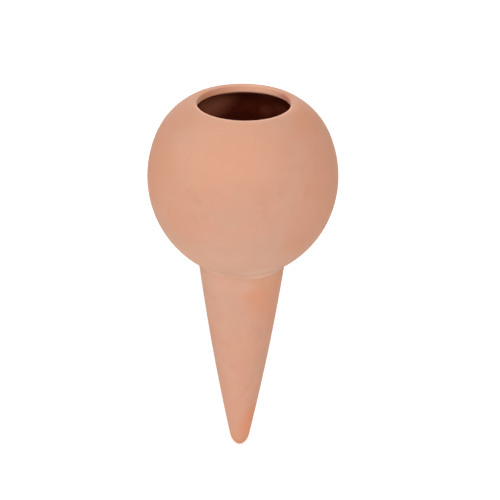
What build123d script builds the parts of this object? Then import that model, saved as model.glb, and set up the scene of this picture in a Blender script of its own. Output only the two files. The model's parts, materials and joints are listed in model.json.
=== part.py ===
from build123d import *
from math import acos, atan2, cos, degrees, radians, sin, sqrt
import os

# A terracotta watering spike: a hollow globe with a filling mouth, luted with slip to the top of a
# hollow, closed spike, and glazed on the inside of the globe alone. Every piece is turned about Z.
# The origin lies on that axis at the soil line, level with the crease where globe and spike meet.

# Whole object, in millimetres
OVERALL_HEIGHT = 180.0
GLOBE_DIAMETER = 90.0

# Globe: three tangent arcs, cut flat at the mouth
FOOT_RADIUS = 49.5  # profile radius from the equator down to the crease
BELLY_RADIUS = 52.0  # profile radius from the equator up to the shoulder
SHOULDER_RADIUS = 33.4  # tighter profile radius between belly and mouth
SHOULDER_ANGLE = 23.0  # degrees above the equator where the shoulder starts
GLOBE_WALL = 4.0
MOUTH_DIAMETER = 44.0
RIM_LAND = 3.4  # width of the flat cut round the mouth before its edges are rounded
RIM_OUTER_ROUND = 6.0  # soft sponged edge from the flat cut to the shoulder
RIM_INNER_ROUND = 0.5  # both edges of the mouth's upright wall
OUTLET_DIAMETER = 28.0  # hole in the foot of the globe, into the spike
OUTLET_ROUND = 0.8

# Spike: a long, slightly swelling flank and a ball nose
SPIKE_TOP_DIAMETER = 41.6  # at the crease
FLANK_RADIUS = 1280.0
SPIKE_WALL = 4.0
TIP_RADIUS = 4.4
CAVITY_TIP_RADIUS = 2.0  # round end of the hollow, where the slip filled the tip

# Slip joint: the luting layer and the bead wiped round the crease
SLIP_THICKNESS = 0.6
SLIP_BEAD_RADIUS = 1.2

# Glaze inside the globe
GLAZE_THICKNESS = 0.4
GLAZE_SETBACK = 1.5  # bare clay left beside the mouth and the outlet


def angle_at_reach(centre, radius, reach):
    """Degrees above the horizontal at which an arc stands a given reach from the axis."""
    return degrees(acos((reach - centre.X) / radius))


def angle_to(centre, point):
    """Direction of a point from a centre, in degrees from the horizontal."""
    return degrees(atan2(point.Y - centre.Y, point.X - centre.X))


def circles_meet(centre_a, radius_a, centre_b, radius_b):
    """The two points that two circles share."""
    apart = centre_b - centre_a
    along = (apart.length**2 + radius_a**2 - radius_b**2) / (2 * apart.length)
    across = sqrt(radius_a**2 - along**2)
    ahead = apart.normalized()
    foot = centre_a + ahead * along
    return foot + Vector(-ahead.Y, ahead.X) * across, foot + Vector(ahead.Y, -ahead.X) * across


def lower_meet(centre_a, radius_a, centre_b, radius_b):
    """The lower of the two points that two circles share."""
    return min(circles_meet(centre_a, radius_a, centre_b, radius_b), key=lambda point: point.Y)


# The globe's profile, as points (distance from the axis, height) in a half section
mouth_radius = MOUTH_DIAMETER / 2
rim_radius = mouth_radius + RIM_LAND
outlet_radius = OUTLET_DIAMETER / 2
crease = Vector(SPIKE_TOP_DIAMETER / 2, 0)
foot_offset = GLOBE_DIAMETER / 2 - FOOT_RADIUS
equator_height = sqrt(FOOT_RADIUS**2 - (crease.X - foot_offset) ** 2)
foot_centre = Vector(foot_offset, equator_height)
belly_centre = Vector(GLOBE_DIAMETER / 2 - BELLY_RADIUS, equator_height)
shoulder_turn = radians(SHOULDER_ANGLE)
shoulder_centre = belly_centre + Vector(cos(shoulder_turn), sin(shoulder_turn)) * (
    BELLY_RADIUS - SHOULDER_RADIUS
)
rim_rise = sqrt(SHOULDER_RADIUS**2 - (rim_radius - shoulder_centre.X) ** 2)
rim_height = shoulder_centre.Y + rim_rise

# The spike's profile: its flank passes through the crease and runs into the ball nose
tip_height = rim_height - OVERALL_HEIGHT
nose_centre = Vector(0, tip_height + TIP_RADIUS)
flank_centre = min(
    circles_meet(crease, FLANK_RADIUS, nose_centre, FLANK_RADIUS - TIP_RADIUS),
    key=lambda point: point.X,
)
cavity_radius = FLANK_RADIUS - SPIKE_WALL
cavity_nose_drop = sqrt((cavity_radius - CAVITY_TIP_RADIUS) ** 2 - flank_centre.X**2)
cavity_nose_centre = Vector(0, flank_centre.Y - cavity_nose_drop)

# The joint: the spike's top is coped to a circle one slip layer outside the globe
seat_radius = FOOT_RADIUS + SLIP_THICKNESS
seat_outer = lower_meet(foot_centre, seat_radius, flank_centre, FLANK_RADIUS)
seat_inner = lower_meet(foot_centre, seat_radius, flank_centre, cavity_radius)
seat_outer_angle = angle_to(foot_centre, seat_outer)
seat_inner_angle = angle_to(foot_centre, seat_inner)
bead_centre = lower_meet(
    foot_centre, FOOT_RADIUS + SLIP_BEAD_RADIUS, flank_centre, FLANK_RADIUS + SLIP_BEAD_RADIUS
)


def arc(centre, radius, start_angle, end_angle):
    """An arc about a centre from one direction to another."""
    return CenterArc(centre, radius, start_angle, end_angle - start_angle)


def globe_side(inset, foot_angle, top_angle):
    """Foot, belly and shoulder of the globe, an inset inside its outer face; gives both ends."""
    foot = arc(foot_centre, FOOT_RADIUS - inset, foot_angle, 0)
    arc(belly_centre, BELLY_RADIUS - inset, 0, SHOULDER_ANGLE)
    shoulder = arc(shoulder_centre, SHOULDER_RADIUS - inset, SHOULDER_ANGLE, top_angle)
    return foot @ 0, shoulder @ 1


def globe_angles(inset, foot_reach, top_reach):
    """Directions of a globe side's ends that stand the two given reaches from the axis."""
    foot = -angle_at_reach(foot_centre, FOOT_RADIUS - inset, foot_reach)
    return foot, angle_at_reach(shoulder_centre, SHOULDER_RADIUS - inset, top_reach)


os.makedirs("parts", exist_ok=True)

# Globe
with BuildPart() as globe:
    with BuildSketch(Plane.XZ) as globe_section:
        with BuildLine():
            outer_angles = globe_angles(0, outlet_radius, rim_radius)
            outer_foot, outer_rim = globe_side(0, *outer_angles)
            inner_angles = globe_angles(GLOBE_WALL, outlet_radius, mouth_radius)
            inner_foot, inner_rim = globe_side(GLOBE_WALL, *inner_angles)
            mouth_edge = Vector(mouth_radius, rim_height)
            Polyline(outer_rim, mouth_edge, inner_rim)
            Line(inner_foot, outer_foot)
        make_face()
        fillet(globe_section.vertices().sort_by_distance(outer_rim)[0], RIM_OUTER_ROUND)
        for corner in (mouth_edge, inner_rim):
            fillet(globe_section.vertices().sort_by_distance(corner)[0], RIM_INNER_ROUND)
        for corner in (inner_foot, outer_foot):
            fillet(globe_section.vertices().sort_by_distance(corner)[0], OUTLET_ROUND)
    revolve(axis=Axis.Z)
globe.part.label = "globe"
export_step(globe.part, "parts/globe.step")

# Spike
with BuildPart() as spike:
    with BuildSketch(Plane.XZ):
        with BuildLine():
            nose_end = angle_to(flank_centre, nose_centre)
            nose = arc(nose_centre, TIP_RADIUS, -90, nose_end)
            arc(flank_centre, FLANK_RADIUS, nose_end, angle_to(flank_centre, seat_outer))
            arc(foot_centre, seat_radius, seat_inner_angle, seat_outer_angle)
            cavity_nose_end = angle_to(flank_centre, cavity_nose_centre)
            arc(flank_centre, cavity_radius, cavity_nose_end, angle_to(flank_centre, seat_inner))
            cavity_nose = arc(cavity_nose_centre, CAVITY_TIP_RADIUS, -90, cavity_nose_end)
            Line(cavity_nose @ 0, nose @ 0)
        make_face()
    revolve(axis=Axis.Z)
spike.part.label = "spike"
export_step(spike.part, "parts/spike.step")

# Slip joint
with BuildPart() as slip_joint:
    with BuildSketch(Plane.XZ):
        with BuildLine():
            bead_on_globe = angle_to(foot_centre, bead_centre)
            bead_on_spike = angle_to(flank_centre, bead_centre)
            globe_face = arc(foot_centre, FOOT_RADIUS, seat_inner_angle, bead_on_globe)
            arc(bead_centre, SLIP_BEAD_RADIUS, bead_on_globe + 180, bead_on_spike + 180)
            arc(flank_centre, FLANK_RADIUS, bead_on_spike, angle_to(flank_centre, seat_outer))
            spike_face = arc(foot_centre, seat_radius, seat_inner_angle, seat_outer_angle)
            Line(spike_face @ 0, globe_face @ 0)
        make_face()
    revolve(axis=Axis.Z)
slip_joint.part.label = "slip_joint"
export_step(slip_joint.part, "parts/slip_joint.step")

# Glaze lining, held back from the mouth and the outlet
with BuildPart() as inner_glaze:
    with BuildSketch(Plane.XZ):
        with BuildLine():
            glaze_angles = globe_angles(
                GLOBE_WALL, outlet_radius + GLAZE_SETBACK, mouth_radius + GLAZE_SETBACK
            )
            clay_foot, clay_top = globe_side(GLOBE_WALL, *glaze_angles)
            face_foot, face_top = globe_side(GLOBE_WALL + GLAZE_THICKNESS, *glaze_angles)
            Line(clay_foot, face_foot)
            Line(clay_top, face_top)
        make_face()
    revolve(axis=Axis.Z)
inner_glaze.part.label = "inner_glaze"
export_step(inner_glaze.part, "parts/inner_glaze.step")
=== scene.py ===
# %% [markdown]
# # A terracotta watering spike
#
# The real object is a hollow clay globe with an open mouth, stuck with clay slip onto a hollow clay
# spike. The spike goes into potting soil, the globe is filled, and water seeps out through the bare
# clay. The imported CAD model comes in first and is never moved: every piece below is a finer copy of
# one of its four nodes, made in the same frame, so nothing has to be fitted afterwards.

import json
from math import cos, pi, radians, sin, sqrt

import bpy
import numpy as np
from mathutils import Matrix, Vector, noise


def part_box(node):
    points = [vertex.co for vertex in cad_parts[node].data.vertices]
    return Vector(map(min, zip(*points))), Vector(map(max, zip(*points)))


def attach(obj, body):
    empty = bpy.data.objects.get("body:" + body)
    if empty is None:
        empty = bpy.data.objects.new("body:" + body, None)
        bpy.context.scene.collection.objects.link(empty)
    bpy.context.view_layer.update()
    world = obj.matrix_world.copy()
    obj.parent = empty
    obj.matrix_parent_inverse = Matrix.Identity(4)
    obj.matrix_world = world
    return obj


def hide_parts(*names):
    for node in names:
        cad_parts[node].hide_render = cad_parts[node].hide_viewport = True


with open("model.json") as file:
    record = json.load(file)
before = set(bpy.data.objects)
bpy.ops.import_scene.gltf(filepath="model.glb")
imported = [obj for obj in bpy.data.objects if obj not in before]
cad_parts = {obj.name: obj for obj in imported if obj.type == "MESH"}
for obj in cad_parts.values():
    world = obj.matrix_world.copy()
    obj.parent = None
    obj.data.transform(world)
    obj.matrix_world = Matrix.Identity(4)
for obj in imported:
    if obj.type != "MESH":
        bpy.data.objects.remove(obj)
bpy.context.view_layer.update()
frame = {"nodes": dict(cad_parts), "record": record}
print("CAD nodes:", ", ".join(sorted(frame["nodes"])))

# %% [markdown]
# ## Sizes from the frame
#
# Blender measures in metres and a potter in millimetres. So the sizes of the pot are millimetres, and MM
# turns them into metres at the last moment. What the frame can say is read from it: the globe's radius,
# the heights of rim and tip, and the mouth. Other sizes stand in the cell that first needs them. They
# repeat the values that drive the CAD model, unless the text says that the real clay differs.

# %% Sizes from the frame
MM = 0.001
mouth = next(m for m in frame["record"]["mounts"] if m["name"] == "filling_mouth")
mouth_radius = mouth["dims"]["r_mm"]
globe_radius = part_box("globe")[1].y / MM
rim_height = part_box("globe")[1].z / MM
tip_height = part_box("spike")[0].z / MM
print(f"globe {2 * globe_radius:.1f}, height {rim_height - tip_height:.1f}, mouth {2 * mouth_radius:.1f}")

# %% [markdown]
# ## The wheel
#
# Pottery like this is round because it is turned. So each piece is drawn as half a section, points of
# radius and height that run round the clay, and one function turns that outline about Z. Blender's Screw
# modifier spins a profile too, but the profile stays the same all the way round. Here a radius or height
# may be one number, or a row of numbers with one for each step round the pot: that is how an edge gets
# to waver. No hand leaves clay truly round, so the wheel also presses every piece in by up to 0.14
# millimetres, in swells half as wide as a palm. All pieces share them and stay fitted.

# %% The wheel
STEPS = 480
HAND_SPAN = 34.0  # distance from swell to swell
HAND_PRESS = 0.003  # share of the radius that the deepest swell takes
ON_AXIS = 1e-6  # a ring smaller than this is one point
round_the_pot = np.linspace(0, 2 * pi, STEPS, endpoint=False)


def pressed_point(radius, angle, height):
    """A point of the turned clay in metres, pressed in a little as by a hand."""
    at = Vector((radius * cos(angle), radius * sin(angle), height))
    pressed = 1 - HAND_PRESS * (0.5 + 0.5 * noise.noise(at / HAND_SPAN))
    return at.x * pressed * MM, at.y * pressed * MM, at.z * MM


def turn(name, outline):
    """Turns an outline about Z into a closed mesh; an end that lies on the axis becomes one point."""
    points, rings = [], []
    for radius, height in outline:
        radii = np.broadcast_to(radius, STEPS)
        heights = np.broadcast_to(height, STEPS)
        count = 1 if radii.max() < ON_AXIS else STEPS
        rings.append(range(len(points), len(points) + count))
        points += [pressed_point(*at) for at in zip(radii, round_the_pot[:count], heights)]
    if len(rings[0]) > 1:
        rings.append(rings[0])
    faces = []
    for low, high in zip(rings, rings[1:]):
        for k in range(STEPS):
            after = (k + 1) % STEPS
            corners = [low[k % len(low)], low[after % len(low)]]
            corners += [high[after % len(high)], high[k % len(high)]]
            faces.append(list(dict.fromkeys(corners)))
    mesh = bpy.data.meshes.new(name)
    mesh.from_pydata(points, [], faces)
    mesh.shade_smooth()
    piece = bpy.data.objects.new(name, mesh)
    bpy.context.scene.collection.objects.link(piece)
    return piece


print(f"wheel: {STEPS} steps, {2 * pi * globe_radius / STEPS:.2f} mm apart at the equator")

# %% [markdown]
# ## Taking a node's place
#
# Each finished piece stands for one CAD node, which is then hidden and kept for collision. The piece
# rides on the same body as that node.
# All four pieces need the same three calls, so they are one function.


# %% Taking a node's place
def stand_for(piece, node):
    """The piece takes a CAD node's place: it rides on the body."""
    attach(piece, "root")
    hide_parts(node)
    print(f"{piece.name}: {len(piece.data.polygons)} faces for CAD node {node}")


# %% [markdown]
# ## The globe's three arcs
#
# Slip cast or thrown, the globe is three arcs in section: a foot, a belly and a tighter shoulder. One
# could start from Blender's sphere and pull it into shape by eye. Arcs keep the sizes that the CAD model
# has. Two neighbours' centres lie in line with the point where their arcs meet, so there is no corner.

# %% The globe's three arcs
CREASE_RADIUS = 20.8  # where globe and spike meet
FOOT_RADIUS = 49.5
BELLY_RADIUS = 52.0
SHOULDER_RADIUS = 33.4
SHOULDER_ANGLE = 23.0  # degrees above the equator at which the shoulder starts
foot_offset = globe_radius - FOOT_RADIUS
equator_height = sqrt(FOOT_RADIUS**2 - (CREASE_RADIUS - foot_offset) ** 2)
foot_centre = (foot_offset, equator_height)
belly_centre = (globe_radius - BELLY_RADIUS, equator_height)


def along_arc(centre, radius, start, end, count):
    """Points on an arc from one direction to another, in degrees from the horizontal."""
    turns = [np.radians(start + (end - start) * k / count) for k in range(count + 1)]
    return [(centre[0] + radius * np.cos(t), centre[1] + radius * np.sin(t)) for t in turns]


def shoulder_from(radius):
    """Centre of a shoulder arc of that radius, which runs on smoothly from the belly."""
    shift = BELLY_RADIUS - radius
    turn_up = radians(SHOULDER_ANGLE)
    return belly_centre[0] + shift * cos(turn_up), belly_centre[1] + shift * sin(turn_up)


def globe_side(inset, shoulder_radius, foot_angle, top_angle, counts):
    """Foot, belly and shoulder, an inset inside the globe's outer face."""
    foot = along_arc(foot_centre, FOOT_RADIUS - inset, foot_angle, 0, counts[0])
    belly = along_arc(belly_centre, BELLY_RADIUS - inset, 0, SHOULDER_ANGLE, counts[1])
    centre = shoulder_from(shoulder_radius)
    reach = shoulder_radius - inset
    shoulder = along_arc(centre, reach, SHOULDER_ANGLE, top_angle, counts[2])
    return foot + belly[1:] + shoulder[1:]


print(f"equator {equator_height:.1f} mm above the crease")

# %% [markdown]
# ## The mouth
#
# The potter cuts the mouth level, sponges its outer edge soft, just breaks the lip's inner edge and rounds
# the throat under it with a fingertip. The real lip is a little crisper than the CAD model's, and the
# throat rounder. A hand that bears on one side leaves the rim thicker there: on the left of the mouth the
# inside of the shoulder turns tighter, which adds up to 0.4 millimetres. A Bevel modifier would be quick,
# but no two of these edges are alike, so each gets the centre of its own arc.

# %% The mouth
GLOBE_WALL = 4.0
RIM_OUTER_ROUND = 6.0
LIP_ROUND = 0.4
THROAT_ROUND = 1.2
RIM_GATHER = 1.6  # how much tighter the inside of the shoulder turns where the rim is thickest
RIM_THICKEST = radians(160)


def direction(centre, point):
    """Degrees from the horizontal at which a centre sees a point."""
    return np.degrees(np.arctan2(point[1] - centre[1], point[0] - centre[0]))


def beside(arc_centre, distance, reach, side):
    """The point at a distance from an arc's centre and a reach from the axis, above or below it."""
    return reach, arc_centre[1] + side * np.sqrt(distance**2 - (reach - arc_centre[0]) ** 2)


shoulder_centre = shoulder_from(SHOULDER_RADIUS)
rim_round_height = rim_height - RIM_OUTER_ROUND
rim_round_reach = sqrt(
    (SHOULDER_RADIUS - RIM_OUTER_ROUND) ** 2 - (rim_round_height - shoulder_centre[1]) ** 2
)
rim_round = (shoulder_centre[0] + rim_round_reach, rim_round_height)
rim_angle = direction(shoulder_centre, rim_round)
lip_round = (mouth_radius + LIP_ROUND, rim_height - LIP_ROUND)
thick_side = (0.5 + 0.5 * np.cos(round_the_pot - RIM_THICKEST)) ** 2
inner_shoulder = SHOULDER_RADIUS - RIM_GATHER * thick_side
inner_centre = shoulder_from(inner_shoulder)
throat_distance = inner_shoulder - GLOBE_WALL + THROAT_ROUND
throat_round = beside(inner_centre, throat_distance, mouth_radius + THROAT_ROUND, 1)
throat_angle = direction(inner_centre, throat_round)
rim_depth = rim_height - throat_round[1]
print(f"lip to throat: {rim_depth.min():.2f} to {rim_depth.max():.2f} mm")

# %% [markdown]
# ## The outlet
#
# The water runs down into the spike through a round outlet that is bored through the globe's foot. It
# shows only to someone who looks straight down into the mouth. A Boolean could bore it, and would leave
# long thin faces. In a turned outline it is only two more rounds, on the way back to the start.

# %% The outlet
OUTLET_RADIUS = 14.0
OUTLET_ROUND = 0.8
outlet_reach = OUTLET_RADIUS + OUTLET_ROUND
drain_round = beside(foot_centre, FOOT_RADIUS - GLOBE_WALL + OUTLET_ROUND, outlet_reach, -1)
drain_angle = direction(foot_centre, drain_round)
outlet_round = beside(foot_centre, FOOT_RADIUS - OUTLET_ROUND, outlet_reach, -1)
outlet_angle = direction(foot_centre, outlet_round)
print(f"outlet: {2 * OUTLET_RADIUS:.0f} mm across")

# %% [markdown]
# ## The globe
#
# Now the outline can be put together. It follows the outside up, goes over the rim and comes back down
# the inside, four millimetres of clay further in. A single skin with a Solidify modifier would be quicker
# to draw, but its rim could only be square. The outside shows most, so it has the most steps.

# %% The globe
OUTSIDE_COUNTS = (66, 26, 22)  # steps along foot, belly and shoulder, close enough to show no corners
INSIDE_COUNTS = (24, 10, 14)
globe_outline = globe_side(0, SHOULDER_RADIUS, outlet_angle, rim_angle, OUTSIDE_COUNTS)
globe_outline += along_arc(rim_round, RIM_OUTER_ROUND, rim_angle, 90, count=8)[1:]
mouth_wall = along_arc(lip_round, LIP_ROUND, 90, 180, count=8)
mouth_wall += along_arc(throat_round, THROAT_ROUND, 180, 180 + throat_angle, count=5)
wall_start = len(globe_outline)
globe_outline += mouth_wall
inside = globe_side(GLOBE_WALL, inner_shoulder, drain_angle, throat_angle, INSIDE_COUNTS)
globe_outline += inside[-2::-1]
globe_outline += along_arc(drain_round, OUTLET_ROUND, 180 + drain_angle, 180, count=5)[1:]
globe_outline += along_arc(outlet_round, OUTLET_ROUND, 180, 360 + outlet_angle, count=5)[:-1]
globe = turn("globe_shell", globe_outline)
stand_for(globe, "globe")

# %% [markdown]
# ## Painted light in the mouth
#
# The walls of the mouth are painted paler where light falls on them. This is painted light on the far
# wall, which faces the softboxes, and a painted highlight along the near lip. The side walls turn away
# from the light and get none. A pattern in space could hardly tell the wall of the mouth from the
# shoulder four millimetres behind it. So the share of that painted light is written on the points of
# the mesh, as an attribute which the material reads.

# %% Painted light in the mouth
# painted light on the mouth's walls: paler on the far wall and the near lip, none on the side walls
MOUTH_LIGHT_BEARINGS = (0, 35, 60, 85, 130, 180, 200, 340, 360)  # degrees round the pot
MOUTH_LIGHT_SHARES = (0, 0, 0.6, 0.65, 0, 0, 0.7, 0.7, 0)
mouth_light_round = np.interp(np.degrees(round_the_pot), MOUTH_LIGHT_BEARINGS, MOUTH_LIGHT_SHARES)
shares = np.zeros((len(globe_outline), STEPS))
shares[wall_start : wall_start + len(mouth_wall)] = mouth_light_round
mouth_light = globe.data.attributes.new("mouth_light", "FLOAT", "POINT")
mouth_light.data.foreach_set("value", shares.ravel())
print(f"sponged: {len(mouth_wall)} of {len(globe_outline)} rings")

# %% [markdown]
# ## The spike's flank and hollow
#
# The spike is a long taper that swells by less than a millimetre, and it is hollow nearly to the tip. A
# cone would be straight, and the eye notices that. So the flank is one arc of a very large circle, which
# passes through the crease and touches the ball that ends the CAD model's spike. The hollow is the same
# arc, a wall's thickness further in.

# %% The spike's flank and hollow
FLANK_RADIUS = 1280.0
TIP_RADIUS = 4.4
SPIKE_WALL = 4.0
CAVITY_TIP_RADIUS = 2.0


def circles_meet(centre_a, radius_a, centre_b, radius_b):
    """The two points that two circles share."""
    ahead = np.array(centre_b) - np.array(centre_a)
    apart = np.hypot(*ahead)
    ahead = ahead / apart
    along = (apart**2 + radius_a**2 - radius_b**2) / (2 * apart)
    across = np.sqrt(radius_a**2 - along**2)
    foot = (centre_a[0] + ahead[0] * along, centre_a[1] + ahead[1] * along)
    left = (foot[0] - ahead[1] * across, foot[1] + ahead[0] * across)
    right = (foot[0] + ahead[1] * across, foot[1] - ahead[0] * across)
    return left, right


ball_centre = (0, tip_height + TIP_RADIUS)
flank_centre = min(
    circles_meet((CREASE_RADIUS, 0), FLANK_RADIUS, ball_centre, FLANK_RADIUS - TIP_RADIUS),
    key=lambda point: point[0],
)
cavity_radius = FLANK_RADIUS - SPIKE_WALL
cavity_drop = sqrt((cavity_radius - CAVITY_TIP_RADIUS) ** 2 - flank_centre[0] ** 2)
cavity_nose = (0, flank_centre[1] - cavity_drop)
cavity_angle = direction(flank_centre, cavity_nose)
print(f"hollow ends {cavity_nose[1] - CAVITY_TIP_RADIUS - tip_height:.1f} mm above the tip")

# %% [markdown]
# ## The seat
#
# The top of the spike is cut to the globe's curve, one layer of slip away from it, so that the two can be
# stuck together. A Boolean with the globe would make that cut. Here it is the arc between the two points
# where a circle round the foot's centre meets the flank and the hollow, and the slip will use it again.

# %% The seat
SLIP_THICKNESS = 0.6


def lower_meet(*circles):
    """The lower of the two points that two circles share."""
    return min(circles_meet(*circles), key=lambda point: np.mean(point[1]))


seat_radius = FOOT_RADIUS + SLIP_THICKNESS
seat_outer = lower_meet(foot_centre, seat_radius, flank_centre, FLANK_RADIUS)
seat_inner = lower_meet(foot_centre, seat_radius, flank_centre, cavity_radius)
seat_outer_angle = direction(foot_centre, seat_outer)
seat_inner_angle = direction(foot_centre, seat_inner)
flank_top = direction(flank_centre, seat_outer)
cavity_top = direction(flank_centre, seat_inner)
print(f"seat: {seat_inner[0]:.1f} to {seat_outer[0]:.1f} mm from the axis")

# %% [markdown]
# ## The nose
#
# The CAD model closes the spike with a ball. The real nose is slimmer, rolled to a soft point by hand.
# A curve could be pulled by eye until it looks like that. An ellipse needs one value, the nose's length:
# it leaves the tip level and runs into the flank without a corner, and the rest follows from those two.

# %% The nose
NOSE_LENGTH = 5.7  # from the tip to where the nose runs into the flank
nose_top = np.degrees(np.arcsin((tip_height + NOSE_LENGTH - flank_centre[1]) / FLANK_RADIUS))
slant = -np.tan(np.radians(nose_top))
nose_reach = flank_centre[0] + FLANK_RADIUS * np.cos(np.radians(nose_top))
nose_rise = NOSE_LENGTH**2 / (nose_reach / slant - 2 * NOSE_LENGTH)
nose_tall = NOSE_LENGTH + nose_rise
nose_wide = nose_tall * np.sqrt(slant * nose_reach / nose_rise)
nose_end = -np.degrees(np.arcsin(nose_rise / nose_tall))
unit_nose = along_arc((0, 1), 1, -90, nose_end, count=16)
nose = [(nose_wide * reach, tip_height + nose_tall * height) for reach, height in unit_nose]
print(f"nose: {2 * nose_reach:.1f} mm across where it meets the flank")

# %% [markdown]
# ## The scrape
#
# Low on the front a tool has scraped the soft clay. A bump in the material could only shade that, and the
# exported mesh would not have it. So the scrape is pressed into the mesh itself: near its slanting line,
# the rings of the flank are drawn in.

# %% The scrape
SCRAPE_DEPTH = 0.6
SCRAPE_WIDTH = 1.4
SCRAPE_HEIGHTS = (-70.5, -57.5)
SCRAPE_BEARINGS = (277, 311)  # degrees round the pot at those heights


def scraped(radius, height):
    """The flank at a height, drawn in where the scrape crosses it."""
    bearing = np.interp(height, SCRAPE_HEIGHTS, SCRAPE_BEARINGS)
    beside_it = radius * (round_the_pot - radians(bearing))
    beyond_it = height - np.clip(height, *SCRAPE_HEIGHTS)
    away = (beside_it**2 + beyond_it**2) / SCRAPE_WIDTH**2
    return radius - SCRAPE_DEPTH * np.exp(-away), height


print(f"scrape: {SCRAPE_HEIGHTS[1] - SCRAPE_HEIGHTS[0]:.0f} mm tall, {SCRAPE_DEPTH} mm deep")

# %% [markdown]
# ## The spike
#
# The outline starts at the tip, goes up the flank, over the seat and back down the hollow. Both of its
# ends lie on the axis, where the wheel makes a single point, so the spike is closed like the real one.
# The flank has many steps, because the scrape needs them.

# %% The spike
flank = along_arc(flank_centre, FLANK_RADIUS, nose_top, flank_top, count=120)
spike_outline = nose + [scraped(*point) for point in flank[1:]]
spike_outline += along_arc(foot_centre, seat_radius, seat_outer_angle, seat_inner_angle, count=6)[1:]
spike_outline += along_arc(flank_centre, cavity_radius, cavity_top, cavity_angle, count=44)[1:]
spike_outline += along_arc(cavity_nose, CAVITY_TIP_RADIUS, cavity_angle, -90, count=8)[1:]
spike = turn("spike_shell", spike_outline)
stand_for(spike, "spike")

# %% [markdown]
# ## The slip joint
#
# Slip is clay thinned with water, and it is the potter's glue. A layer of it fills the joint, and what
# squeezes out is wiped round the crease with a fingertip. A Bevel in the crease would be the same all
# round. So the bead is one more outline, a soft hollow that runs into both pieces, broadest where the
# finger went round slowly and thinner on the far side.

# %% The slip joint
SLIP_BEAD_RADIUS = 1.2
BEAD_MEAN = 2.3  # the wiped bead, as a share of the bead that the CAD model draws
BEAD_SWELL = 0.6  # how much that share grows and shrinks round the crease
BEAD_FULLEST = radians(-60)
BEAD_WAVER = 0.15


def wavering(seed, ripples):
    """One number for each step round the pot, from about -1 to 1, drifting without a pattern."""
    reach = ripples / 4  # a ring of this radius crosses about that many waves of the noise
    ring = [Vector((cos(t), sin(t), seed)) * reach for t in round_the_pot]
    fading, finer, layers = 0.9, 2.0, 3
    return np.array([noise.fractal(point, fading, finer, layers) for point in ring])


swell = BEAD_MEAN + BEAD_SWELL * np.cos(round_the_pot - BEAD_FULLEST)
bead_radius = SLIP_BEAD_RADIUS * (swell + BEAD_WAVER * wavering(seed=3, ripples=9))
bead_centre = lower_meet(
    foot_centre, FOOT_RADIUS + bead_radius, flank_centre, FLANK_RADIUS + bead_radius
)
bead_on_globe = direction(foot_centre, bead_centre)
bead_on_flank = direction(flank_centre, bead_centre)
slip_outline = along_arc(
    bead_centre, bead_radius, bead_on_flank + 180, bead_on_globe + 180, count=14
)
slip_outline += along_arc(foot_centre, FOOT_RADIUS, bead_on_globe, seat_inner_angle, count=8)[1:]
slip_outline += along_arc(foot_centre, seat_radius, seat_inner_angle, seat_outer_angle, count=6)
slip = turn("slip_bead", slip_outline)
stand_for(slip, "slip_joint")
print(f"bead: {bead_radius.min():.1f} to {bead_radius.max():.1f} mm in radius")

# %% [markdown]
# ## The glaze lining
#
# Before the firing, liquid glaze is poured into the globe, swirled and tipped out again, so that the
# water can leave only through the spike. It stops short of the mouth in an edge that wavers a little. A
# second material on the inside of the globe would end where the mesh's faces end, in a clean ring. As a
# skin of its own, the glaze has an edge that wavers and a real thickness that catches the light.

# %% The glaze lining
GLAZE_THICKNESS = 0.4
GLAZE_SETBACK = 1.5
EDGE_WAVER = 0.25  # how far the glaze's edge strays up and down
EDGE_SLOPE = 0.4  # degrees by which the glaze's face ends before its back does
BACK_COUNTS = (22, 10, 12)
FACE_COUNTS = (60, 26, 34)


def reach_angle(centre, radius, reach):
    """Degrees above the horizontal at which an arc stands a given reach from the axis."""
    return np.degrees(np.arccos((reach - centre[0]) / radius))


glaze_reach = mouth_radius + GLAZE_SETBACK + EDGE_WAVER * wavering(seed=11, ripples=10)
glaze_top = reach_angle(inner_centre, inner_shoulder - GLOBE_WALL, glaze_reach)
drain_reach = OUTLET_RADIUS + GLAZE_SETBACK + EDGE_WAVER * wavering(seed=17, ripples=10)
glaze_foot = -reach_angle(foot_centre, FOOT_RADIUS - GLOBE_WALL, drain_reach)
face_foot, face_top = glaze_foot + EDGE_SLOPE, glaze_top - EDGE_SLOPE
glaze_outline = globe_side(GLOBE_WALL, inner_shoulder, glaze_foot, glaze_top, BACK_COUNTS)
face_inset = GLOBE_WALL + GLAZE_THICKNESS
glaze_face = globe_side(face_inset, inner_shoulder, face_foot, face_top, FACE_COUNTS)
glaze_outline += glaze_face[::-1]
glaze = turn("glaze_lining", glaze_outline)
stand_for(glaze, "inner_glaze")

# %% [markdown]
# ## Helpers for the materials
#
# Colours are written as the sRGB codes that a paint program shows, and one function turns them into the
# linear values that Blender mixes with. One more adds a shader node: its inputs are given by name, or by
# number where Blender uses a name twice, and each is a plain value or the output of another node. The
# same trees could be drawn by hand in the Shader Editor. Written down, they can be read and run again.


# %% Helpers for the materials
def colour(code):
    """Linear RGBA from an sRGB hex code."""
    parts = [int(code[k : k + 2], 16) / 255 for k in (1, 3, 5)]
    return (*[p / 12.92 if p <= 0.04045 else ((p + 0.055) / 1.055) ** 2.4 for p in parts], 1)


def add(tree, kind, inputs, **settings):
    """Adds a node to a tree, with its inputs and settings."""
    node = tree.nodes.new("ShaderNode" + kind)
    for name, value in settings.items():
        setattr(node, name, value)
    for socket, value in inputs.items():
        if isinstance(value, bpy.types.NodeSocket):
            tree.links.new(value, node.inputs[socket])
        else:
            node.inputs[socket].default_value = value
    return node


def new_material(name):
    """An empty node material: its tree and its Principled shader."""
    material = bpy.data.materials.new(name)
    material.use_nodes = True
    tree = material.node_tree
    return material, tree, tree.nodes["Principled BSDF"]


print(f"a middle grey of #808080 is {colour('#808080')[0]:.2f} in linear light")

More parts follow.
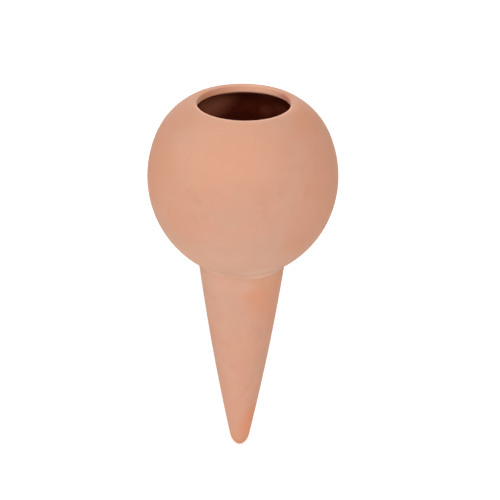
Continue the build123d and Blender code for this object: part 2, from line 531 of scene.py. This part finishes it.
# %% [markdown]
# ## Patterns and spots
#
# Fired clay and glaze are never one flat colour. An image could be painted for them, but it would need
# the meshes unwrapped, and it would break where one piece meets the next. Patterns in space need neither,
# and run on from piece to piece. So a skin is built up from noise, where only the strong parts of each
# pattern show, and then from soft spots that put larger patches where they belong. A spot is a ball in
# space, fading outwards, and noise pulls its edge about so that nobody reads it as a ball.

# %% Patterns and spots
STRAY = 7 * MM  # how far the noise pulls the edge of a spot about
SPOT_FULL = 0.7  # how deep in its ball a spot is full, from 0 at the rim to 1 in the middle


def patterned(tree, skin, patterns):
    """Lays patterns over a skin: each has a noise, a colour, a start, a full level and a largest share."""
    for pattern, code, start, full, most in patterns:
        share = add(
            tree,
            "MapRange",
            {"Value": pattern.outputs["Fac"], "From Min": start, "From Max": full, "To Max": most},
        )
        inputs = {"Factor": share.outputs[0], 6: skin, 7: colour(code)}
        skin = add(tree, "Mix", inputs, data_type="RGBA").outputs[2]
    return skin


def spotted(tree, skin, place, stirring, spots):
    """Lays spots over a skin: each has a colour, a largest share, and a centre and size in millimetres."""
    stray = add(
        tree,
        "VectorMath",
        {0: stirring.outputs["Color"], 1: (STRAY, STRAY, STRAY), 2: place},
        operation="MULTIPLY_ADD",
    )
    for code, most, centre, size in spots:
        inputs = {
            "Vector": stray.outputs[0],
            "Location": [c * MM + STRAY / 2 for c in centre],
            "Scale": [s * MM for s in size],
        }
        local = add(tree, "Mapping", inputs, vector_type="TEXTURE")
        ball = add(tree, "TexGradient", {"Vector": local.outputs[0]}, gradient_type="SPHERICAL")
        inputs = {"Value": ball.outputs["Fac"], "From Max": SPOT_FULL, "To Max": most}
        share = add(tree, "MapRange", inputs, interpolation_type="SMOOTHSTEP")
        inputs = {"Factor": share.outputs[0], 6: skin, 7: colour(code)}
        skin = add(tree, "Mix", inputs, data_type="RGBA").outputs[2]
    return skin


print(f"spots stray by up to {STRAY / 2 / MM:.1f} mm either way")

# %% [markdown]
# ## The clay's skin
#
# Red earthenware is fired once at about a thousand degrees and left bare. Its pores scatter the light so
# evenly that it looks flat and dry, with no gloss at all: a high roughness and a low specular level give
# that. Broad clouds of bloom, a mottle of warmer clay and a few faint smudges lie over its colour. A fine
# sandy grain only breaks up the light, so a bump is enough for it. The clay and the slip share this skin
# and differ in their colours, so it is one function.

# %% The clay's skin
SMUDGED = "#C9967C"
# painted light and highlight on the walls of the mouth
PAINTED_MOUTH_LIGHT = "#FCC5A8"
CLOUD_SPAN = 36 * MM
MOTTLE_SPAN = 11 * MM
SMUDGE_SPAN = 6 * MM
GRAIN_SPAN = 0.9 * MM  # real grit is near 0.2 mm, too fine to show, so it is drawn coarser
GRAIN_DEPTH = 0.1 * MM


def clay_skin(name, body, bloom, warm, spots):
    """Matt fired clay: clouds, mottle and smudges on the body colour, spots, and a sandy grain."""
    material, tree, shader = new_material(name)
    place = add(tree, "TexCoord", {}).outputs["Object"]
    clouds = add(tree, "TexNoise", {"Vector": place, "Scale": 1 / CLOUD_SPAN, "Detail": 3})
    mottle = add(tree, "TexNoise", {"Vector": place, "Scale": 1 / MOTTLE_SPAN, "Detail": 5})
    smudges = add(tree, "TexNoise", {"Vector": place, "Scale": 1 / SMUDGE_SPAN, "Detail": 2})
    patterns = [
        (clouds, bloom, 0.42, 0.7, 0.5),
        (mottle, warm, 0.42, 0.7, 0.4),
        (smudges, SMUDGED, 0.52, 0.74, 0.25),
    ]
    skin = patterned(tree, colour(body), patterns)
    skin = spotted(tree, skin, place, mottle, spots)
    # painted light in the mouth, read from the points of the mesh: far wall and near lip paler
    lit_share = add(tree, "Attribute", {}, attribute_name="mouth_light").outputs["Fac"]
    inputs = {"Factor": lit_share, 6: skin, 7: colour(PAINTED_MOUTH_LIGHT)}
    skin = add(tree, "Mix", inputs, data_type="RGBA").outputs[2]
    tree.links.new(skin, shader.inputs["Base Color"])
    grain = add(tree, "TexNoise", {"Vector": place, "Scale": 1 / GRAIN_SPAN, "Detail": 2})
    inputs = {"Height": grain.outputs["Fac"], "Strength": 0.25, "Distance": GRAIN_DEPTH}
    tree.links.new(add(tree, "Bump", inputs).outputs[0], shader.inputs["Normal"])
    rough = add(tree, "MapRange", {"Value": mottle.outputs["Fac"], "To Min": 0.8, "To Max": 1.0})
    tree.links.new(rough.outputs[0], shader.inputs["Roughness"])
    shader.inputs["Diffuse Roughness"].default_value = 0.8
    shader.inputs["Specular IOR Level"].default_value = 0.15
    print(f"{name}: {len(tree.nodes)} nodes")
    return material


spans = [round(span / MM, 1) for span in (CLOUD_SPAN, MOTTLE_SPAN, SMUDGE_SPAN, GRAIN_SPAN)]
print("clay: clouds, mottle, smudges and grain of", spans, "mm")

# %% [markdown]
# ## Terracotta
#
# Terracotta is the bare red clay itself. Lime and salts dry out on its skin as a pale chalky bloom, most
# of all low down where the water leaves it, and where hands and boxes rub that off the warmer clay shows
# through. That gives the eye soft, dusty patches between orange and pink. Vertex colours could place
# them too, but they would follow the mesh. Most spots lie where the real pot has its patches, and the far
# side has a few more of the same kind. Some spots are painted light and shade as well: round the foot of
# the globe and over the crease the bloom is made paler to lift the shade under the globe, and the corners
# of the mouth get painted shade.

# %% Terracotta
CLAY = "#D8A68D"
CHALK = "#D3A992"
WARM = "#D99F82"
# bare warm clay where the bloom is rubbed off; in the left corner of the mouth it is painted shade
BARE_CLAY_AND_SHADE = "#DE9A77"
# pale bloom; round the foot and the crease it is also painted light that lifts the shade under the globe
BLOOM_AND_LIFT = "#E1B197"
GOLDEN = "#E2AF92"
# painted shade at the right corner of the mouth
CORNER_SHADE = "#D0826A"
WIPED = "#E9BEA6"
below_lip = rim_height - 2.5
clay_spots = [
    # the upper front of the globe, a little yellower
    (GOLDEN, 0.8, (-6, -30, 67), (34, 28, 28)),
    # bloom on the front, round the foot of the globe, over the crease and down the spike; the two wide
    # rings round the foot and the crease are also paler, painted light that lifts the shade under the
    # globe
    (CHALK, 0.6, (-6, -44, 40), (14, 10, 9)),
    (CHALK, 1.0, (0, 0, 12), (66, 66, 36)),
    (BLOOM_AND_LIFT, 0.7, (0, 0, 6), (90, 90, 22)),
    (CHALK, 0.5, (-5, -16, -22), (9, 12, 24)),
    # painted shade in the corners of the mouth, whose walls turn away from the softboxes: darker, warmer
    # clay at the left and a darker spot at the right
    (BARE_CLAY_AND_SHADE, 1.0, (-18, 13, below_lip), (9, 9, 5)),
    (BARE_CLAY_AND_SHADE, 0.8, (-9, 20, below_lip), (9, 8, 5)),
    (CORNER_SHADE, 0.7, (18.5, 9, below_lip), (6.5, 7, 4.5)),
    # warmer, darker clay at the sides of the globe and on its shoulders
    (WARM, 0.8, (-42, -16, 55), (18, 26, 28)),
    (WARM, 0.7, (39, -20, 48), (20, 24, 44)),
    (WARM, 0.5, (-30, -34, 32), (16, 16, 16)),
    (WARM, 0.5, (26, -33, 32), (14, 14, 16)),
    (BARE_CLAY_AND_SHADE, 0.35, (26, -30, 21), (13, 13, 10)),
    (WARM, 0.45, (-29, -10, 76), (14, 18, 10)),
    (WARM, 1.0, (30, -10, 75), (16, 20, 12)),
    # rubbed bare on the spike, below the crease and at the tip
    (BARE_CLAY_AND_SHADE, 0.5, (13, -14, -11), (14, 15, 22)),
    (BARE_CLAY_AND_SHADE, 0.4, (7, -18, -11), (9, 8, 4.5)),
    (WARM, 0.7, (14, -8, -28), (7, 9, 10)),
    (BARE_CLAY_AND_SHADE, 1.0, (6, -5, -86), (6, 7, 16)),
    (BARE_CLAY_AND_SHADE, 0.5, (2, -6, -88), (3.5, 4, 9)),
    (BARE_CLAY_AND_SHADE, 1.0, (0, 0, -103), (16, 16, 12)),
    # a thin film of slip, wiped up onto the globe and down onto the spike
    (WIPED, 0.5, (9, -26, 4), (16, 8, 5)),
    (GOLDEN, 0.5, (15, -14.5, -2.5), (9, 9, 5)),
    # the far side, held and rubbed in the same way
    (GOLDEN, 0.7, (10, 30, 62), (30, 26, 26)),
    (WARM, 0.8, (-36, 26, 44), (22, 24, 30)),
    (WARM, 0.7, (34, 28, 34), (18, 20, 22)),
    (CHALK, 0.6, (-4, 18, -34), (10, 12, 26)),
    (BARE_CLAY_AND_SHADE, 0.3, (-12, 13, -10), (13, 14, 20)),
    (WARM, 0.6, (-6, 17, -22), (12, 10, 14)),
    (BARE_CLAY_AND_SHADE, 0.45, (-5, 6, -84), (7, 9, 20)),
]
terracotta = clay_skin("terracotta", CLAY, CHALK, WARM, clay_spots)
globe.data.materials.append(terracotta)
spike.data.materials.append(terracotta)

# %% [markdown]
# ## Slip
#
# The slip is the same clay with more water in it. It dries finer and paler than the body, and its colour
# here is made paler still: painted light that lifts the shade in the crease. Two spots add more. One is
# painted light at the left of the front, where the globe's overhang shades the joint. The other is a
# painted highlight along the bead at the right. It could simply take the clay's material, but then the
# joint would vanish: its own paler colours make a faint line in the crease.

# %% Slip
# the slip's colour: its own paleness, and painted light that lifts the shade in the crease
SLIP_LIFTED_BODY = "#E4B59C"
BEAD_HIGHLIGHT = "#E8BDA4"
SHADE_LIFT = "#ECBCA3"
# a painted highlight along the bead at the right; painted light at the left that lifts the shade under the
# globe
slip_painted_light = [
    (BEAD_HIGHLIGHT, 1.0, (13, -16, 0), (16, 14, 12)),
    (SHADE_LIFT, 1.0, (-17.5, -12, 0), (13, 15, 12)),
]
slip_clay = clay_skin("slip", SLIP_LIFTED_BODY, BLOOM_AND_LIFT, CLAY, slip_painted_light)
slip.data.materials.append(slip_clay)

# %% [markdown]
# ## Brown glaze
#
# An iron glaze fires to a dark, treacle brown glass. It is smooth and glossy, and a little redder and
# lighter where it ran thin, in soft upright streaks. Spots paint light and shade on it: painted shade low
# on the far wall, where the near rim shades it, a painted patch of light on the inner wall at the left
# and two faint ones at the right. A dark colour alone would look like paint. The gloss comes from a low
# roughness and the index of refraction of common glass, the streaks from noise that is drawn out
# upwards, and a bump makes what it mirrors ripple a little.

# %% Brown glaze
GLAZE_DARK = "#6B2818"
# thin glaze in the streaks, and painted light on the inner wall in the spots
THIN_GLAZE_AND_LIGHT = "#CC7A5A"
# painted shade low on the far wall
GLAZE_SHADE = "#4A190F"
RUN_SPAN = 16 * MM  # from streak to streak
RUN_SQUEEZE = 0.25  # share of the height at which the noise is read, which draws it out into streaks
RIPPLE_SPAN = 5 * MM
RIPPLE_DEPTH = 0.2 * MM
glaze_light_and_shade = [
    # painted shade low on the far wall; a painted patch of light on the inner left wall and two faint ones
    # at the right
    (GLAZE_SHADE, 0.6, (0, 39, 54), (26, 8, 10)),
    (THIN_GLAZE_AND_LIGHT, 1.0, (-14.5, 29.5, 70), (14.5, 13, 19)),
    (THIN_GLAZE_AND_LIGHT, 0.15, (11, 34, 63), (5, 6, 5)),
    (THIN_GLAZE_AND_LIGHT, 0.15, (18, 30, 65), (6, 6, 8)),
]
brown_glaze, tree, shader = new_material("brown_glaze")
place = add(tree, "TexCoord", {}).outputs["Object"]
drawn = add(tree, "Mapping", {"Vector": place, "Scale": (1, 1, RUN_SQUEEZE)})
runs = add(tree, "TexNoise", {"Vector": drawn.outputs[0], "Scale": 1 / RUN_SPAN, "Detail": 2})
glass = patterned(tree, colour(GLAZE_DARK), [(runs, THIN_GLAZE_AND_LIGHT, 0.5, 0.75, 0.15)])
glass = spotted(tree, glass, place, runs, glaze_light_and_shade)
tree.links.new(glass, shader.inputs["Base Color"])
waves = add(tree, "TexNoise", {"Vector": place, "Scale": 1 / RIPPLE_SPAN, "Detail": 1})
inputs = {"Height": waves.outputs["Fac"], "Strength": 0.2, "Distance": RIPPLE_DEPTH}
tree.links.new(add(tree, "Bump", inputs).outputs[0], shader.inputs["Normal"])
shader.inputs["Roughness"].default_value = 0.2
shader.inputs["IOR"].default_value = 1.5
glaze.data.materials.append(brown_glaze)
print(f"brown_glaze: {len(tree.nodes)} nodes")

# %% [markdown]
# ## White paper
#
# A product photograph of this kind is taken on a sheet of white paper, which throws light back up under
# the globe. More light would turn the paper white, but it would bleach the clay as well. So the paper
# glows a little, and only for rays that come from the camera, off a gloss or through glass: it looks pure
# white, lights nothing, and still shows the soft shadow at the tip.

# %% White paper
PAPER = "#F9F9F9"
WHITE = "#FFFFFF"
PAPER_HALF = 0.8  # metres from the middle of the sheet to its edge
PAPER_LIFT = 0.4  # how strongly it glows for those rays


def sees_white(tree):
    """1 for rays from the camera, off a gloss or through glass, which find a white background; else 0."""
    path = add(tree, "LightPath", {}).outputs
    inputs = {0: path["Is Camera Ray"], 1: path["Is Glossy Ray"]}
    either = add(tree, "Math", inputs, operation="MAXIMUM").outputs[0]
    inputs = {0: either, 1: path["Is Transmission Ray"]}
    return add(tree, "Math", inputs, operation="MAXIMUM").outputs[0]


corners = [(-1, -1, 0), (1, -1, 0), (1, 1, 0), (-1, 1, 0)]
floor_mesh = bpy.data.meshes.new("paper")
floor_mesh.from_pydata([Vector(corner) * PAPER_HALF for corner in corners], [], [(0, 1, 2, 3)])
floor = bpy.data.objects.new("paper", floor_mesh)
floor.location.z = tip_height * MM
bpy.context.scene.collection.objects.link(floor)
paper, tree, shader = new_material("paper")
lift = add(tree, "MapRange", {"Value": sees_white(tree), "To Max": PAPER_LIFT})
tree.links.new(lift.outputs[0], shader.inputs["Emission Strength"])
shader.inputs["Emission Color"].default_value = colour(WHITE)
shader.inputs["Base Color"].default_value = colour(PAPER)
shader.inputs["Roughness"].default_value = 1
shader.inputs["Specular IOR Level"].default_value = 0
floor.data.materials.append(paper)
print(f"paper: {2 * PAPER_HALF} m wide, {tip_height:.1f} mm below the crease")

# %% [markdown]
# ## White room
#
# The room is bright and white, so some light comes from all round and fills the shadows. Walls could be
# built for that, but Blender's world does the same at no cost. The same rays as before see it at full
# white, and the clay gets less of it, because a strong even light would flatten the form.

# %% White room
ROOM_LIGHT = 0.3  # what the room's white walls send to the pot
room = bpy.data.worlds.new("white_room")
bpy.context.scene.world = room
room.use_nodes = True
tree = room.node_tree
level = add(tree, "MapRange", {"Value": sees_white(tree), "To Min": ROOM_LIGHT, "To Max": 1.0})
background = tree.nodes["Background"]
background.inputs["Color"].default_value = colour(WHITE)
tree.links.new(level.outputs[0], background.inputs["Strength"])
bpy.context.scene.view_settings.view_transform = "Standard"
print(f"room: {ROOM_LIGHT:.0%} of white")

# %% [markdown]
# ## Softboxes
#
# Two large softboxes in front, one to each side of the camera, give the form. A smaller one behind does
# the same for the back, and stands low so that little of its light spills over the rim. Point lamps would
# be simpler, but their shadows have hard edges. An area lamp shines along its own -Z, so each is turned
# until its Z points away from the pot.

# %% Softboxes
LAMP_DISTANCE = 1.9  # metres from the crease
# name, degrees round the pot from the front, degrees above it, size in metres, power in watts
softboxes = [
    ("softbox_left", -34, 33, 1.2, 13.4),
    ("softbox_right", 16, 33, 1.2, 14.7),
    ("softbox_back", 180, 12, 0.7, 20),
]
for name, bearing, height, size, power in softboxes:
    spin, rise = radians(bearing), radians(height)
    away = Vector((sin(spin) * cos(rise), -cos(spin) * cos(rise), sin(rise)))
    lamp = bpy.data.lights.new(name, "AREA")
    lamp.size = size
    lamp.energy = power
    softbox = bpy.data.objects.new(name, lamp)
    softbox.location = away * LAMP_DISTANCE
    softbox.rotation_euler = away.to_track_quat("Z", "Y").to_euler()
    bpy.context.scene.collection.objects.link(softbox)
    print(f"{name}: {power} W from {bearing} degrees")

# %% [markdown]
# ## Camera
#
# The camera looks down on the pot from in front with a long lens, as a catalogue photographer's does. It
# is rolled by under a degree, because the pot leans that much in the picture. It could be set up by eye in
# the viewport, but an angle, a distance and a point to aim at say the same and can be read. Like a lamp,
# a camera looks along its own -Z, so its Z is turned to point back from what it looks at.

# %% Camera
CAMERA_ELEVATION = 24.76  # degrees above the horizon
CAMERA_ROLL = 0.807  # degrees
CAMERA_DISTANCE = 1.2  # metres from the point it aims at
CAMERA_AIM = (3.84, 0, 4.38)  # that point, in millimetres
CAMERA_LENS = 181.3  # focal length in millimetres, on a sensor as wide as 35 mm film
CAMERA_SENSOR = 36
lens = bpy.data.cameras.new("camera")
lens.sensor_width = CAMERA_SENSOR
lens.lens = CAMERA_LENS
camera = bpy.data.objects.new("camera", lens)
tilt = radians(CAMERA_ELEVATION)
back = Vector((0, -cos(tilt), sin(tilt)))
aim = Vector(CAMERA_AIM) * MM
facing = back.to_track_quat("Z", "Y").to_matrix().to_4x4()
roll = Matrix.Rotation(radians(CAMERA_ROLL), 4, "Z")
camera.matrix_world = Matrix.Translation(aim + back * CAMERA_DISTANCE) @ facing @ roll
bpy.context.scene.collection.objects.link(camera)
bpy.context.scene.camera = camera
print("camera at", [round(x, 3) for x in camera.matrix_world.translation])
